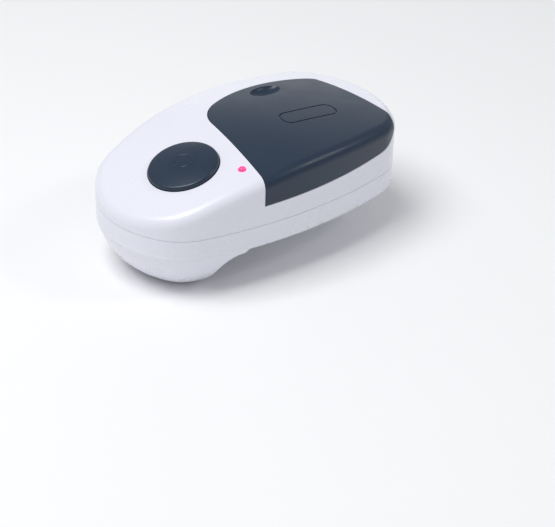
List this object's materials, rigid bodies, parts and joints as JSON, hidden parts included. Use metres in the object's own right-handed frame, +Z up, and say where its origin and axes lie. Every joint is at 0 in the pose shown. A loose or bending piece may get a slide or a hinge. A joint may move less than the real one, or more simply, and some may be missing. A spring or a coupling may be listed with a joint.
{
  "type": "electric can opener",
  "caption": "Hands-free battery can opener: domed oval body that sits on the can rim, with drive wheel, swinging side cutter, lid magnet, push button and lift-up battery cover.",
  "frame": {"origin": "middle of the box under the body, level with the flat bottom of the chin", "axes": "+X from the nose to the battery end, +Y to the side away from the cover's skirt, +Z up"},
  "size_m": [0.1171, 0.069, 0.0465],
  "materials": {
    "white_shell": "gloss",
    "slate_plastic": "satin",
    "slate_button": "satin",
    "black_plastic": "matte",
    "pale_nylon": "matte",
    "spring_steel": "satin",
    "white_inner": "matte",
    "pink_lamp": "gloss",
    "tinned_wire": "gloss",
    "brass_part": "satin",
    "bright_steel": "satin",
    "hard_steel": "polished",
    "acetal_black": "satin",
    "nickel_plate": "polished",
    "zinc_plate": "satin",
    "dark_ferrite": "matte",
    "motor_iron": "matte",
    "cell_jacket": "gloss",
    "green_board": "satin",
    "red_wire": "satin"
  },
  "bodies": {
    "housing": {"lower_housing": "white_shell", "upper_housing": "white_shell", "switch_body": "black_plastic", "button_spring": "spring_steel", "switch_mount": "white_inner", "indicator_lamp": "pink_lamp", "lamp_leads": "tinned_wire", "gear_pins": "bright_steel", "drive_bush": "brass_part", "lid_magnet": "nickel_plate", "gearbox_plate": "zinc_plate", "gearbox_screws": "bright_steel", "housing_screws": "bright_steel", "motor_mount": "zinc_plate", "mount_screws": "bright_steel", "motor_can": "zinc_plate", "motor_end_cap": "black_plastic", "motor_magnets": "dark_ferrite", "cells": "cell_jacket", "battery_tray": "white_inner", "cell_spring": "spring_steel", "cell_contact": "nickel_plate", "bridge_strip": "nickel_plate", "control_board": "green_board", "board_parts": "black_plastic", "power_wires": "red_wire"},
    "cover": {"battery_cover": "slate_plastic"},
    "button": {"push_button": "slate_button"},
    "plunger": {"switch_plunger": "pale_nylon"},
    "drive": {"final_gear": "pale_nylon", "drive_shaft": "bright_steel", "shaft_clip": "spring_steel", "drive_wheel": "hard_steel"},
    "gear_two": {"second_gear": "pale_nylon"},
    "gear_one": {"first_gear": "pale_nylon"},
    "rotor": {"motor_pinion": "brass_part", "motor_rotor": "motor_iron"},
    "clutch_drive": {"clutch_gear": "pale_nylon", "clutch_spring": "spring_steel"},
    "clutch_out": {"clutch_pinion": "pale_nylon"},
    "carrier": {"cutter_carrier": "acetal_black", "cutter_axle": "bright_steel"},
    "cutter": {"cutting_wheel": "hard_steel"}
  },
  "joints": [
    {"name": "drive_spin", "type": "hinge", "parent": "housing", "child": "drive", "pos_m": [-0.0235, 0, 0.0172], "axis": [0, 0, 1], "continuous": true},
    {"name": "second_gear_spin", "type": "hinge", "parent": "housing", "child": "gear_two", "pos_m": [-0.01321, 0.01226, 0.0172], "axis": [0, 0, 1], "continuous": true},
    {"name": "first_gear_spin", "type": "hinge", "parent": "housing", "child": "gear_one", "pos_m": [-0.00757, -0.00099, 0.0172], "axis": [0, 0, 1], "continuous": true},
    {"name": "rotor_spin", "type": "hinge", "parent": "housing", "child": "rotor", "pos_m": [-0.0091, -0.0139, 0.0172], "axis": [0, 0, 1], "continuous": true},
    {"name": "clutch_gear_spin", "type": "hinge", "parent": "housing", "child": "clutch_drive", "pos_m": [-0.03353, 0.01637, 0.0172], "axis": [0, 0, 1], "continuous": true},
    {"name": "carrier_turn", "type": "hinge", "parent": "housing", "child": "carrier", "pos_m": [-0.04, 0, 0.0172], "axis": [0, 0, 1], "range_deg": [0, 180]},
    {"name": "clutch_pinion_turn", "type": "hinge", "parent": "housing", "child": "clutch_out", "pos_m": [-0.03353, 0.01637, 0.0172], "axis": [0, 0, 1], "range_deg": [-480, 0]},
    {"name": "cutter_spin", "type": "hinge", "parent": "carrier", "child": "cutter", "pos_m": [-0.0428, 0, 0.0124], "axis": [0, 0, 1], "continuous": true},
    {"name": "cover_hinge", "type": "hinge", "parent": "housing", "child": "cover", "pos_m": [0.02, -0.0348, 0.0322], "axis": [1, 0, 0], "range_deg": [0, 75]},
    {"name": "button_press", "type": "slide", "parent": "housing", "child": "button", "axis": [0.2774, 0, -0.9607], "range_m": [0, 0.0012], "stiffness_N_per_m": 500, "springref_m": -0.0015, "deforming": ["button_spring"]},
    {"name": "plunger_press", "type": "slide", "parent": "housing", "child": "plunger", "axis": [0.2774, 0, -0.9607], "range_m": [0, 0.0014]}
  ],
  "couplings": [
    {"joint": "second_gear_spin", "follows": "drive_spin", "ratio": -2.3333},
    {"joint": "first_gear_spin", "follows": "drive_spin", "ratio": 7},
    {"joint": "rotor_spin", "follows": "drive_spin", "ratio": -23.333},
    {"joint": "clutch_gear_spin", "follows": "drive_spin", "ratio": -1.4},
    {"joint": "clutch_pinion_turn", "follows": "carrier_turn", "ratio": -2.6667},
    {"joint": "plunger_press", "follows": "button_press", "ratio": 1}
  ]
}
